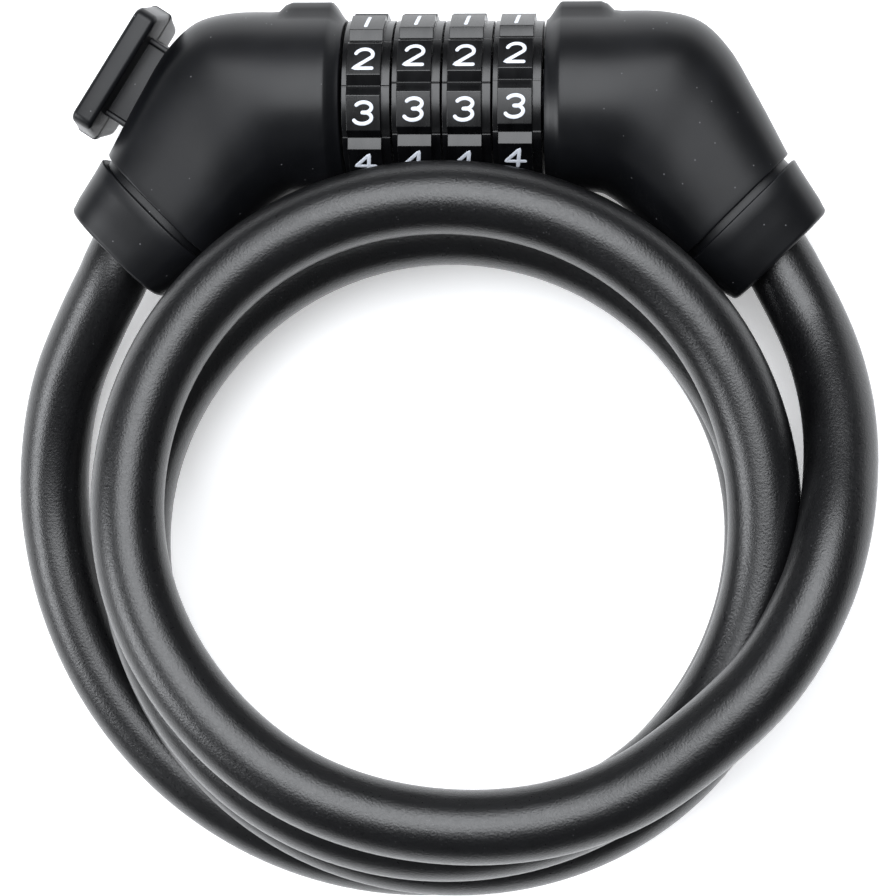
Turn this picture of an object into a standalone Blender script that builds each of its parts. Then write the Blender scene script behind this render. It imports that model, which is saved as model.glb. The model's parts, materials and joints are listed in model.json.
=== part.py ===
"""Coil cable lock with a four-dial combination.

+X runs along the dial axis from the lock body to the plug, +Y points away from the coil, and
+Z is up as the lock lies on its back on a table. The origin is under the middle of the head,
on the table. Dimensions are in millimetres and become metres when a mesh is made.
"""

import math

import bmesh
import bpy
from mathutils import Matrix, Vector

MM = 0.001

# ---------------------------------------------------------------- driving dimensions
AXIS_Y = 8.08            # dial axis, forward of the origin
AXIS_Z = 15.15           # dial axis above the table
GAP = 0.3                # running and seating clearance between neighbours
WALL = 2.2               # housing wall

DIGITS = 10
DIAL_PITCH = 8.25
DIAL_WIDTH = DIAL_PITCH - GAP
DIAL_R = 14.7            # over the number blocks
DIAL_FLANGE_R = 13.45
DIAL_GROOVE_R = 13.6     # bottom of the V between two numbers
DIAL_BORE_R = 8.9
DIAL_FLANGE_LEFT = 0.9
DIAL_FLANGE_RIGHT = 1.45
BLOCK_HALF = 11.3        # degrees from a number's middle to its V groove
INDEX_ANGLE = -9.2       # middle of the number at the index, from +Y towards +Z
FLUTE_DEPTH = 0.35       # ten flutes in a dial's bore
DIAL_XS = [(i - 1.5) * DIAL_PITCH for i in range(4)]

CLUTCH_R = 8.5
CLUTCH_BORE_R = 5.75
GATE_R = 7.4             # depth of the gate that lets a bolt tooth through
CLUTCH_FROM = -1.2       # a clutch ring's span, from its dial's middle
CLUTCH_TO = 3.4
TOOTH_FROM = -3.3        # a bolt tooth's span, from its dial's middle
TOOTH_TO = -1.6
TOOTH_W = 2.0
TOOTH_R = 7.0

RIM_X = 16.75            # dial-side face of a housing
BODY_R = 15.0
RIM_R = 14.1
PAD_H = 1.6              # raised index pad beside the dials
LEG_ANGLE = -45.0        # the leg leaves the dial axis at this angle
GROOVE_C = (48.1, -17.7)  # middle of the groove between leg and collar
GROOVE_DEPTH = 1.1
GROOVE_W = 1.2
LEG_W = 12.6             # half width and half height of the leg at the groove
LEG_H = 11.9
COLLAR_L = 11.2
COLLAR_END_W = 10.6
COLLAR_END_H = 9.7
MOUTH_WALL = 3.0         # the wall round the cable at the collar's end
CABLE_R = 6.0
CABLE_HOLE_R = 7.1       # the cable leans in its hole

TAB_L = 24.8
TAB_DRAFT = 1.6          # each end of the plate draws in this much to its long edges
TAB_DEPTH = 19.0
TAB_T = 3.8
NECK_L = 15.2
NECK_DEPTH = 9.0
NECK_H = 2.8
NECK_ROOT = 1.6          # the neck's depth into the housing wall
NECK_R = 1.5
TAB_R = 1.6
TAB_EDGE = 0.8
TAB_ANGLE = 57.5         # long side of the tab, in plan
TAB_FOOT = (-50.96, 2.45, 0.0)

# works on the dial axis: the barrel is fixed in the left housing and the bolt in the right one
SEAT_X = RIM_X + WALL + GAP       # inner side of a housing's dial wall
DIALS_X = DIAL_XS[-1] + DIAL_WIDTH / 2
BARREL_R = 5.4
BARREL_BORE_R = 3.5
BARREL_FLANGE_R = 8.5
BARREL_FLANGE_T = 2.0
BARREL_FROM = -30.0
BARREL_TO = 18.2
SLOT_HALF = 1.3          # half width of the slot that the bolt's teeth slide in
SPRING_GROOVE_HALF = 1.7
SPRING_GROOVE_DEPTH = 0.9
RING_R = 8.0             # ring that keeps the dials on
LEAF_T = 0.4
LEAF_HALF = 1.3
FINGER_HALF = 0.9
FINGER_TIP = 8.55        # a finger reaches this far from the dial axis
CAP_T = 2.0
CAP_PLUG = 1.9
SPRING_R = 2.4
SPRING_WIRE = 0.35
SPRING_TURNS = 6
PLUNGER_T = 1.7
BOLT_R = 3.1
BOLT_TIP = DIAL_XS[0] + TOOTH_FROM
BOLT_END = 27.0
BOLT_SHOULDER_R = 6.6
BOLT_SHOULDER_T = 2.2
CROSS_PIN_X = 24.4
CROSS_PIN_R = 1.2
CROSS_PIN_HALF = 8.5

# works in a leg, measured out from the groove
FERRULE_R = 4.6
FERRULE_FLANGE_R = 6.8
FERRULE_IN = -11.0
FERRULE_NECK = -0.6
FERRULE_FLANGE = 0.4
FERRULE_OUT = 2.6
ANCHOR_PIN_AT = -6.5
ANCHOR_PIN_R = 1.5
ANCHOR_PIN_HALF = 9.0
DOWEL_R = 1.4
DOWEL_HALF = 7.5
DOWELS = (("upper", 37.5, 8.0), ("lower", 27.5, -9.5))

# cable route, in plan from the dial axis and above the table: the two leads, and between them
# the coil, which winds clockwise seen from above and starts where the plug's lead has climbed
# onto the pile; its radius is given every eighth of a turn, one row to a turn
MOUTH_POINTS = ((52.9, -22.8), (55.4, -26.0))
PLUG_LEAD = ((57.4, -29.5, 15.4), (60.9, -36.3, 17.0), (63.4, -42.8, 20.2), (65.0, -50.5, 25.0),
             (65.3, -58.6, 30.0), (63.7, -70.0, 36.9), (60.2, -80.4, 40.8), (52.6, -93.1, 42.8))
BODY_LEAD = ((-69.0, -58.2, 7.3), (-66.3, -47.5, 9.6), (-61.3, -37.0, 12.6), (-57.3, -29.9, 14.7))
COIL_C = (0.0, -70.0)
COIL_START = 45.0
COIL_STEP = 45.0
COIL_RADII = (
    (52.7, 47.0, 46.8, 50.4, 52.9, 53.5, 54.0, 53.2),
    (53.4, 53.1, 52.9, 51.7, 48.9, 48.6, 50.6, 54.5),
    (58.4, 58.6, 56.9, 53.9, 50.0, 49.1, 50.5, 53.5),
    (56.5, 61.6, 66.0, 69.7),
)
TURN_LOW = 6.1           # centre of the lowest turn
TURN_PITCH = 12.35       # each turn rests on the next one down
RAMP = (1.4, 4.3)        # eighths of a turn over which a turn steps down to the next
CABLE_ROOT = 3.4         # the cable starts in the leg, this far past the groove
COIL_POINTS = 60

BLACK_ABS = ((0.012, 0.012, 0.014), 0.42, 0.0)
BLACK_PVC = ((0.010, 0.010, 0.012), 0.38, 0.0)
DIAL_BLACK = ((0.008, 0.008, 0.010), 0.28, 0.0)
STEEL = ((0.55, 0.55, 0.57), 0.30, 1.0)
SPRING_STEEL = ((0.35, 0.35, 0.38), 0.35, 1.0)
ZINC = ((0.42, 0.42, 0.44), 0.40, 1.0)


# ---------------------------------------------------------------- scene and materials
def clear_scene():
    for obj in list(bpy.data.objects):
        bpy.data.objects.remove(obj, do_unlink=True)


def make_collection(name):
    coll = bpy.data.collections.new(name)
    bpy.context.scene.collection.children.link(coll)
    return coll


clear_scene()
PARTS = make_collection("coil_cable_lock")
CUTTERS = make_collection("cutters")


def material(name, look):
    mat = bpy.data.materials.new(name)
    mat.use_nodes = True
    shader = mat.node_tree.nodes["Principled BSDF"]
    colour, roughness, metallic = look
    shader.inputs["Base Color"].default_value = (*colour, 1.0)
    shader.inputs["Roughness"].default_value = roughness
    shader.inputs["Metallic"].default_value = metallic
    return mat


def finish(obj, look, smooth=True):
    """Give an object its material, put it with the parts and shade it."""
    obj.data.materials.clear()
    obj.data.materials.append(material(obj.name + "_material", look))
    for coll in list(obj.users_collection):
        coll.objects.unlink(obj)
    PARTS.objects.link(obj)
    if smooth and obj.type == "MESH":
        obj.data.shade_smooth()
        obj.data.set_sharp_from_angle(angle=math.radians(35))
    return obj


def mesh_object(name, bm):
    """Turn a bmesh in millimetres, drawn about the dial axis, into an object in metres."""
    bmesh.ops.recalc_face_normals(bm, faces=bm.faces)
    move = Matrix.Translation(Vector((0, AXIS_Y, AXIS_Z)) * MM)
    bmesh.ops.transform(bm, matrix=move @ Matrix.Scale(MM, 4), verts=bm.verts)
    mesh = bpy.data.meshes.new(name)
    bm.to_mesh(mesh)
    bm.free()
    obj = bpy.data.objects.new(name, mesh)
    PARTS.objects.link(obj)
    return obj


def origin_to(obj, point_mm):
    """Put an object's origin on a point, such as one on its joint's axis."""
    point = Vector(point_mm) * MM
    obj.data.transform(Matrix.Translation(-point))
    obj.location = point


# ---------------------------------------------------------------- shape helpers
def along_x():
    """Frame whose local Z is the dial axis."""
    return Matrix.Rotation(math.radians(90), 4, "Y")


def leg_frame(side, distance):
    """Frame on a leg's axis, local Z pointing out of the leg, distance past the groove."""
    angle = math.radians(LEG_ANGLE)
    out = Vector((math.cos(angle) * side, math.sin(angle), 0))
    spot = Vector((GROOVE_C[0] * side, GROOVE_C[1], 0)) + out * distance
    return Matrix.Translation(spot) @ out.to_track_quat("Z", "Y").to_matrix().to_4x4()


def turned(name, profile, frame, steps=28):
    """A turned piece: closed profile of (radius, height), down the outer side, then up inside."""
    mesh = bpy.data.meshes.new(name)
    bm = bmesh.new()
    verts = [bm.verts.new((r * MM, 0, z * MM)) for r, z in profile]
    for a, b in zip(verts, verts[1:] + verts[:1]):
        bm.edges.new((a, b))
    bm.to_mesh(mesh)
    bm.free()
    obj = bpy.data.objects.new(name, mesh)
    PARTS.objects.link(obj)
    screw = obj.modifiers.new("turn", "SCREW")
    screw.axis = "Z"
    screw.angle = math.radians(360)
    screw.steps = steps
    screw.render_steps = steps
    screw.use_merge_vertices = True
    screw.merge_threshold = 0.00001
    place = frame.copy()
    place.translation = (frame.translation + Vector((0, AXIS_Y, AXIS_Z))) * MM
    obj.matrix_world = place
    return obj


def rod(name, radius, frame, low, high, steps=20):
    """A plain pin from low to high along its frame's local Z, with small chamfers."""
    edge = min(0.4, radius / 4)
    bm = bmesh.new()
    for z, r in ((low, radius - edge), (low + edge, radius), (high - edge, radius), (high, radius - edge)):
        for i in range(steps):
            a = math.tau * i / steps
            bm.verts.new((r * math.cos(a), r * math.sin(a), z))
    bm.verts.ensure_lookup_table()
    for ring in range(3):
        for i in range(steps):
            j = (i + 1) % steps
            base = ring * steps
            bm.faces.new([bm.verts[k] for k in (base + i, base + j, base + steps + j, base + steps + i)])
    bm.faces.new([bm.verts[i] for i in range(steps)])
    bm.faces.new([bm.verts[3 * steps + i] for i in range(steps)])
    bmesh.ops.transform(bm, matrix=frame, verts=bm.verts)
    return mesh_object(name, bm)


def box(name, low, high):
    bm = bmesh.new()
    bmesh.ops.create_cube(bm, size=1.0)
    size = [h - l for l, h in zip(low, high)]
    middle = [(h + l) / 2 for l, h in zip(low, high)]
    bmesh.ops.scale(bm, vec=size, verts=bm.verts)
    bmesh.ops.translate(bm, vec=middle, verts=bm.verts)
    return mesh_object(name, bm)


def cutter(obj):
    for coll in list(obj.users_collection):
        coll.objects.unlink(obj)
    CUTTERS.objects.link(obj)
    obj.hide_render = True
    obj.display_type = "WIRE"
    return obj


def boolean(obj, tool, operation):
    mod = obj.modifiers.new(operation.lower(), "BOOLEAN")
    mod.operation = operation
    mod.object = cutter(tool)


def grid_solid(bm, rings, closed):
    """Skin a closed loop of rings; rings are lists of points, each ring closed or an open arc."""
    made = [[bm.verts.new(p) for p in ring] for ring in rings]
    count = len(made[0])
    for a, b in zip(made, made[1:] + made[:1]):
        for i in range(count if closed else count - 1):
            j = (i + 1) % count
            bm.faces.new((a[i], a[j], b[j], b[i]))
    if not closed:
        bm.faces.new([ring[0] for ring in made])
        bm.faces.new([ring[-1] for ring in made])


# ---------------------------------------------------------------- dials and clutch rings
DIAL_SAMPLES = 4 * DIGITS   # a block's middle, its edge, the V groove and the next block's edge
PITCH_ANGLE = 360 / DIGITS
SAMPLE_ANGLES = (0.0, BLOCK_HALF, PITCH_ANGLE / 2, PITCH_ANGLE - BLOCK_HALF)


def block_radius(i):
    """Number block, with a V groove half way to the next number."""
    return DIAL_GROOVE_R if i % 4 == 2 else DIAL_R


def flange_radius(_):
    return DIAL_FLANGE_R


def bore_radius(i):
    return DIAL_BORE_R + (FLUTE_DEPTH if i % 4 == 0 else 0.0)


def round_points(x, radius, turn=0.0):
    """Points of one ring about the dial axis; the angle runs from +Y towards +Z."""
    points = []
    for i in range(DIAL_SAMPLES):
        a = math.radians(PITCH_ANGLE * (i // 4) + SAMPLE_ANGLES[i % 4] + turn)
        r = radius(i)
        points.append((x, r * math.cos(a), r * math.sin(a)))
    return points


def make_dial(number, x):
    half = DIAL_WIDTH / 2
    left, right = -half + DIAL_FLANGE_LEFT, half - DIAL_FLANGE_RIGHT
    stations = ((-half, bore_radius), (-half, flange_radius), (left, flange_radius),
                (left, block_radius), (right, block_radius), (right, flange_radius),
                (half, flange_radius), (half, bore_radius))
    bm = bmesh.new()
    rings = []
    for dx, radius in stations:
        turn = 0.0 if radius is bore_radius else INDEX_ANGLE
        rings.append(round_points(x + dx, radius, turn))
    grid_solid(bm, rings, closed=True)
    dial = finish(mesh_object("dial_%d" % number, bm), DIAL_BLACK)
    origin_to(dial, (x, AXIS_Y, AXIS_Z))


def clutch_bore(i):
    """Inner radius of a clutch ring, opened by the gate on +Y."""
    return GATE_R if i in (0, 1, DIAL_SAMPLES - 1) else CLUTCH_BORE_R


def clutch_rim(i):
    """Ten ribs that sit in the dial's flutes."""
    return CLUTCH_R + (FLUTE_DEPTH if i % 4 == 0 else 0.0)


def make_clutch_ring(number, x):
    stations = ((CLUTCH_FROM, clutch_bore), (CLUTCH_FROM, clutch_rim),
                (CLUTCH_TO, clutch_rim), (CLUTCH_TO, clutch_bore))
    bm = bmesh.new()
    grid_solid(bm, [round_points(x + dx, r) for dx, r in stations], closed=True)
    ring = finish(mesh_object("clutch_ring_%d" % number, bm), ZINC)
    origin_to(ring, (x, AXIS_Y, AXIS_Z))


# ---------------------------------------------------------------- housings
# right-hand sections from the rim to the groove: (outer x, y), (inner x, y), half height, pad
BODY_SECTIONS = (
    ((19.2, 15.0), (19.2, -15.0), 15.0, PAD_H),
    ((26.3, 15.0), (24.0, -15.0), 15.0, PAD_H),
    ((28.0, 15.0), (25.4, -15.1), 15.0, 0.0),
    ((36.5, 14.8), (27.5, -15.9), 14.6, 0.0),
    ((42.2, 13.2), (29.5, -17.3), 14.1, 0.0),
    ((46.9, 8.8), (31.9, -19.5), 13.4, 0.0),
    ((51.6, 1.0), (35.0, -22.4), 12.7, 0.0),
)
ARC = 12                 # steps round a half shell
PAD_STEPS = (1.0, 0.85)  # pad height at the first samples from the parting plane


def superellipse(angle, half_w, half_h, power):
    c, s = math.cos(angle), math.sin(angle)
    return (half_w * math.copysign(abs(c) ** (2 / power), c),
            half_h * math.copysign(abs(s) ** (2 / power), s))


def section(centre, normal, half_w, half_h, power, face, pad=0.0):
    """Half ring of points, from the outer side over the front (face 1) or rear (face -1)."""
    points = []
    for k in range(ARC + 1):
        across, up = superellipse(math.pi * k / ARC, half_w, half_h, power)
        if pad and k < len(PAD_STEPS):
            across += pad * PAD_STEPS[k]
        up = max(up, 0.0) + GAP / 2
        spot = centre + normal * across
        points.append((spot.x, spot.y, face * up))
    return points


def span_section(outer, inner, half_h, power, face, pad=0.0, inset=0.0):
    a, b = Vector((*outer, 0)), Vector((*inner, 0))
    normal = (a - b).normalized()
    return section((a + b) / 2, normal, (a - b).length / 2 - inset, half_h - inset, power, face, pad)


def leg_section(distance, half_w, half_h, power, face):
    angle = math.radians(LEG_ANGLE)
    out = Vector((math.cos(angle), math.sin(angle), 0))
    normal = Vector((-math.sin(angle), math.cos(angle), 0))
    centre = Vector((*GROOVE_C, 0)) + out * distance
    return section(centre, normal, half_w, half_h, power, face)


def half_shell_rings(face, dial_hole_r):
    """The rings of a right-hand half shell, out along its skin and back through its cavity."""
    round_p, leg_p = 2.0, 2.3
    powers = (round_p, round_p, round_p, 2.05, 2.15, 2.2, 2.25)
    rings = [span_section((RIM_X, RIM_R), (RIM_X, -RIM_R), RIM_R, round_p, face)]
    for (outer, inner, height, pad), power in zip(BODY_SECTIONS, powers):
        rings.append(span_section(outer, inner, height, power, face, pad))
    rings.append(leg_section(0.0, LEG_W, LEG_H, leg_p, face))
    rings.append(leg_section(0.1, LEG_W - GROOVE_DEPTH, LEG_H - GROOVE_DEPTH, leg_p, face))
    rings.append(leg_section(GROOVE_W, LEG_W - GROOVE_DEPTH, LEG_H - GROOVE_DEPTH, leg_p, face))
    rings.append(leg_section(GROOVE_W + 0.1, LEG_W, LEG_H, leg_p, face))
    rings.append(leg_section(COLLAR_L - 0.8, COLLAR_END_W + 0.2, COLLAR_END_H + 0.2, leg_p, face))
    rings.append(leg_section(COLLAR_L, COLLAR_END_W - 0.6, COLLAR_END_H - 0.6, leg_p, face))
    rings.append(leg_section(COLLAR_L, CABLE_HOLE_R, CABLE_HOLE_R, round_p, face))
    rings.append(leg_section(COLLAR_L - MOUTH_WALL, CABLE_HOLE_R, CABLE_HOLE_R, round_p, face))
    rings.append(leg_section(COLLAR_L - MOUTH_WALL, COLLAR_END_W - WALL, COLLAR_END_H - WALL, leg_p, face))
    inset = GROOVE_DEPTH + WALL
    rings.append(leg_section(0.0, LEG_W - inset, LEG_H - inset, leg_p, face))
    for (outer, inner, height, _), power in reversed(list(zip(BODY_SECTIONS, powers))[2:]):
        rings.append(span_section(outer, inner, height, power, face, inset=WALL))
    wall_x = RIM_X + WALL
    rings.append(span_section((wall_x, BODY_R), (wall_x, -BODY_R), BODY_R, round_p, face, inset=WALL))
    for x in (wall_x, RIM_X):
        rings.append(span_section((x, dial_hole_r), (x, -dial_hole_r), dial_hole_r, round_p, face))
    return rings


def make_half_shell(name, side, face, dial_hole_r):
    rings = half_shell_rings(face, dial_hole_r)
    bm = bmesh.new()
    grid_solid(bm, [[(x * side, y, z) for x, y, z in ring] for ring in rings], closed=False)
    shell = mesh_object(name, bm)
    if side < 0:
        pocket = rounded_slab(name + "_tab_pocket", NECK_L + 2 * GAP, NECK_DEPTH + 2 * GAP,
                              -2 * WALL, NECK_H, NECK_R, tab_frame())
        boolean(shell, pocket, "DIFFERENCE")
    return finish(shell, BLACK_ABS)


# ---------------------------------------------------------------- bracket tab
def rounded_slab(name, length, depth, low, high, radius, frame, draft=0.0):
    """Slab with rounded corners in its plane: length on local X, depth on local Y.

    Its ends draw in by the draft from the middle of the depth to the long edges.
    """
    bm = bmesh.new()
    outline = []
    corners = ((1, 1, 0), (-1, 1, 90), (-1, -1, 180), (1, -1, 270))
    for sx, sy, start in corners:
        for k in range(5):
            a = math.radians(start + 22.5 * k)
            outline.append((sx * (length / 2 - radius) + radius * math.cos(a),
                            sy * (depth / 2 - radius) + radius * math.sin(a)))
        if draft and sx != sy:
            outline.append((sx * length / 2, 0.0))
    share = 4 * draft / (length * depth)
    outline = [(x * (1 - share * abs(y)), y) for x, y in outline]
    levels = ((low, TAB_EDGE), (low + TAB_EDGE, 0.0), (high - TAB_EDGE, 0.0), (high, TAB_EDGE))
    rings = []
    for z, inset in levels:
        shrink_x = (length / 2 - inset) / (length / 2)
        shrink_y = (depth / 2 - inset) / (depth / 2)
        rings.append([bm.verts.new((x * shrink_x, y * shrink_y, z)) for x, y in outline])
    count = len(outline)
    for a, b in zip(rings, rings[1:]):
        for i in range(count):
            j = (i + 1) % count
            bm.faces.new((a[i], a[j], b[j], b[i]))
    bm.faces.new(rings[0])
    bm.faces.new(rings[-1])
    bmesh.ops.transform(bm, matrix=frame, verts=bm.verts)
    return mesh_object(name, bm)


def tab_frame():
    """Frame on the left leg's outer side: X along the tab, Z away from the housing."""
    angle = math.radians(TAB_ANGLE)
    long_side = Vector((math.cos(angle), math.sin(angle), 0))
    outward = Vector((-math.sin(angle), math.cos(angle), 0))
    depth_side = outward.cross(long_side)
    rotation = Matrix((long_side, depth_side, outward)).transposed().to_4x4()
    return Matrix.Translation(Vector(TAB_FOOT)) @ rotation


def make_tab():
    frame = tab_frame()
    plate = rounded_slab("bracket_tab", TAB_L, TAB_DEPTH, NECK_H, NECK_H + TAB_T, TAB_R, frame, TAB_DRAFT)
    neck = rounded_slab("tab_neck_form", NECK_L, NECK_DEPTH, -NECK_ROOT, NECK_H + 1.0, NECK_R, frame)
    boolean(plate, neck, "UNION")
    finish(plate, BLACK_ABS)


# ---------------------------------------------------------------- lock body's works
def make_barrel():
    profile = ((BARREL_R, BARREL_TO), (BARREL_R, -SEAT_X), (BARREL_FLANGE_R, -SEAT_X),
               (BARREL_FLANGE_R, -SEAT_X - BARREL_FLANGE_T), (BARREL_R, -SEAT_X - BARREL_FLANGE_T),
               (BARREL_R, BARREL_FROM), (BARREL_BORE_R, BARREL_FROM), (BARREL_BORE_R, BARREL_TO))
    barrel = turned("lock_barrel", profile, along_x())
    slot = box("tooth_slot", (-DIALS_X, 0.0, -SLOT_HALF),
               (BARREL_TO + 1, BARREL_R + 1, SLOT_HALF))
    boolean(barrel, slot, "DIFFERENCE")
    groove = box("spring_groove", (-DIALS_X, -BARREL_R - 1, -SPRING_GROOVE_HALF),
                 (DIALS_X, SPRING_GROOVE_DEPTH - BARREL_R, SPRING_GROOVE_HALF))
    boolean(barrel, groove, "DIFFERENCE")
    finish(barrel, STEEL)


def make_end_ring():
    """Ring on the barrel's open end that keeps the dials on, notched for the bolt's teeth."""
    low = DIALS_X + GAP
    profile = ((RING_R, BARREL_TO), (RING_R, low), (BARREL_R + GAP, low), (BARREL_R + GAP, BARREL_TO))
    ring = turned("barrel_end_ring", profile, along_x())
    notch = box("ring_notch", (low - 1, 0.0, -SLOT_HALF), (BARREL_TO + 1, GATE_R, SLOT_HALF))
    boolean(ring, notch, "DIFFERENCE")
    finish(ring, STEEL)


def make_detent_spring():
    """Leaf strip in the barrel's groove with one finger up to each dial."""
    low = -BARREL_R + GAP / 2
    strip = box("detent_spring", (-DIALS_X + GAP, low, -LEAF_HALF),
                (DIALS_X - GAP, low + LEAF_T, LEAF_HALF))
    for x in DIAL_XS:
        finger = box("finger_form", (x + TOOTH_FROM + GAP, -FINGER_TIP, -FINGER_HALF),
                     (x + TOOTH_TO - GAP, low + LEAF_T / 2, FINGER_HALF))
        boolean(strip, finger, "UNION")
    finish(strip, SPRING_STEEL, smooth=False)


def make_barrel_cap():
    face = BARREL_FROM - GAP
    plug_r = BARREL_BORE_R - GAP
    profile = ((BARREL_R, face), (BARREL_R, face - CAP_T), (0.0, face - CAP_T),
               (0.0, face + CAP_PLUG), (plug_r, face + CAP_PLUG), (plug_r, face))
    cap = turned("barrel_cap", profile, along_x(), steps=24)
    finish(cap, STEEL)


def make_eject_spring():
    """Coil spring between the barrel's cap and the plunger."""
    low = BARREL_FROM - GAP + CAP_PLUG + 2 * SPRING_WIRE
    high = BOLT_TIP - GAP - PLUNGER_T - 2 * SPRING_WIRE
    curve = bpy.data.curves.new("eject_spring_curve", "CURVE")
    curve.dimensions = "3D"
    curve.bevel_depth = SPRING_WIRE * MM
    curve.bevel_resolution = 1
    curve.use_fill_caps = True
    spline = curve.splines.new("POLY")
    steps = 10 * SPRING_TURNS
    spline.points.add(steps)
    for k, point in enumerate(spline.points):
        a = math.tau * SPRING_TURNS * k / steps
        x = low + (high - low) * k / steps
        place = Vector((x, AXIS_Y + SPRING_R * math.cos(a), AXIS_Z + SPRING_R * math.sin(a))) * MM
        point.co = (*place, 1.0)
    obj = bpy.data.objects.new("eject_spring", curve)
    PARTS.objects.link(obj)
    finish(obj, SPRING_STEEL)


def make_plunger():
    face, radius = BOLT_TIP - GAP, BARREL_BORE_R - GAP
    profile = ((radius, face), (radius, face - PLUNGER_T), (0.0, face - PLUNGER_T), (0.0, face))
    finish(turned("eject_plunger", profile, along_x(), steps=24), STEEL)


def make_bolt():
    """The plug's bolt: a shaft with four teeth on +Y and a shoulder inside the housing."""
    shoulder = SEAT_X + BOLT_SHOULDER_T
    profile = ((0.0, BOLT_END), (BOLT_R, BOLT_END), (BOLT_R, shoulder), (BOLT_SHOULDER_R, shoulder),
               (BOLT_SHOULDER_R, SEAT_X), (BOLT_R, SEAT_X), (BOLT_R, BOLT_TIP + 0.4),
               (BOLT_R - 0.4, BOLT_TIP), (0.0, BOLT_TIP))
    bolt = turned("lock_bolt", profile, along_x())
    for x in DIAL_XS:
        tooth = box("tooth_form", (x + TOOTH_FROM + 0.05, 1.0, -TOOTH_W / 2),
                    (x + TOOTH_TO, TOOTH_R, TOOTH_W / 2))
        boolean(bolt, tooth, "UNION")
    middle = Matrix.Translation((CROSS_PIN_X, 0, 0))
    boolean(bolt, rod("bolt_pin_hole", CROSS_PIN_R + GAP, middle, -5, 5), "DIFFERENCE")
    finish(bolt, STEEL)
    pin = rod("bolt_cross_pin", CROSS_PIN_R, middle, -CROSS_PIN_HALF, CROSS_PIN_HALF, steps=16)
    finish(pin, STEEL)


def make_ferrule(side_name, side):
    """Crimped end of the cable, held in the leg by a cross pin."""
    profile = ((FERRULE_FLANGE_R, FERRULE_OUT), (FERRULE_FLANGE_R, FERRULE_FLANGE),
               (FERRULE_R, FERRULE_NECK), (FERRULE_R, FERRULE_IN),
               (0.0, FERRULE_IN), (0.0, FERRULE_OUT))
    ferrule = turned(side_name + "_ferrule", profile, leg_frame(side, 0.0), steps=24)
    upright = Matrix.Translation(leg_frame(side, ANCHOR_PIN_AT).translation)
    hole = rod(side_name + "_pin_hole", ANCHOR_PIN_R + GAP, upright, -6, 6)
    boolean(ferrule, hole, "DIFFERENCE")
    finish(ferrule, ZINC)
    pin = rod(side_name + "_anchor_pin", ANCHOR_PIN_R, upright, -ANCHOR_PIN_HALF, ANCHOR_PIN_HALF,
              steps=16)
    finish(pin, STEEL)


def make_dowels(side_name, side):
    """Steel dowels that line up the two halves of a housing."""
    for name, x, y in DOWELS:
        spot = Matrix.Translation((x * side, y, 0))
        dowel = rod("%s_dowel_%s" % (side_name, name), DOWEL_R, spot, -DOWEL_HALF, DOWEL_HALF, steps=14)
        finish(dowel, STEEL)


# ---------------------------------------------------------------- cable
def hermite(a, b, slope_a, slope_b, t):
    return ((2 * t ** 3 - 3 * t ** 2 + 1) * a + (t ** 3 - 2 * t ** 2 + t) * slope_a
            + (3 * t ** 2 - 2 * t ** 3) * b + (t ** 3 - t ** 2) * slope_b)


def smooth_value(values, position):
    """Smooth curve through evenly spaced values; position counts them."""
    i = min(int(position), len(values) - 2)
    a, b = values[i], values[i + 1]
    slope_a = (b - values[i - 1]) / 2 if i else b - a
    slope_b = (values[i + 2] - a) / 2 if i + 2 < len(values) else b - a
    return hermite(a, b, slope_a, slope_b, position - i)


def coil_height(position):
    """Height of the cable's centre, position counting eighths of a turn."""
    turn, eighth = divmod(position, 360 / COIL_STEP)
    t = min(max((eighth - RAMP[0]) / (RAMP[1] - RAMP[0]), 0.0), 1.0)
    stepped = turn + t * t * (3 - 2 * t)
    return TURN_LOW + TURN_PITCH * max(len(COIL_RADII) - 1 - stepped, 0.0)


def coil_points():
    """Centre of the cable round the coil, evenly spaced in angle."""
    radii = [r for row in COIL_RADII for r in row]
    points = []
    for k in range(COIL_POINTS + 1):
        position = (len(radii) - 1) * k / COIL_POINTS
        a = math.radians(COIL_START + COIL_STEP * position)
        r = smooth_value(radii, position)
        points.append(Vector((COIL_C[0] + r * math.cos(a), COIL_C[1] - r * math.sin(a),
                              coil_height(position))))
    return points


def in_leg(side):
    """Points of the cable inside a leg, from the ferrule to the mouth."""
    roots = [leg_frame(side, CABLE_ROOT + d).translation for d in (0.0, 1.5)]
    mouth = [(root.x, root.y) for root in roots] + [(x * side, y) for x, y in MOUTH_POINTS]
    return [Vector((x, y, AXIS_Z)) for x, y in mouth]


def cable_route():
    """The cable's centre from the plug's ferrule round the coil to the body's ferrule."""
    plug_lead, body_lead = [[Vector(p) for p in lead] for lead in (PLUG_LEAD, BODY_LEAD)]
    return in_leg(1) + plug_lead + coil_points() + body_lead + in_leg(-1)[::-1]


def make_cable():
    curve = bpy.data.curves.new("lock_cable_curve", "CURVE")
    curve.dimensions = "3D"
    curve.bevel_depth = CABLE_R * MM
    curve.bevel_resolution = 3
    curve.use_fill_caps = True
    route = cable_route()
    spline = curve.splines.new("POLY")
    spline.points.add(len(route) - 1)
    for point, place in zip(spline.points, route):
        point.co = (*((place + Vector((0, AXIS_Y, 0))) * MM), 1.0)
    obj = bpy.data.objects.new("lock_cable", curve)
    PARTS.objects.link(obj)
    finish(obj, BLACK_PVC)


# ---------------------------------------------------------------- assembly
def main():
    for number, x in enumerate(DIAL_XS, start=1):
        make_dial(number, x)
        make_clutch_ring(number, x)
    for half, face in (("front", 1), ("rear", -1)):
        make_half_shell("left_housing_" + half, -1, face, BARREL_R + GAP)
        make_half_shell("right_housing_" + half, 1, face, RING_R + GAP)
    make_tab()
    make_barrel()
    make_end_ring()
    make_detent_spring()
    make_barrel_cap()
    make_eject_spring()
    make_plunger()
    make_bolt()
    for side_name, side in (("left", -1), ("right", 1)):
        make_ferrule(side_name, side)
        make_dowels(side_name, side)
    make_cable()


main()
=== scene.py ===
import json
import math

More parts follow.
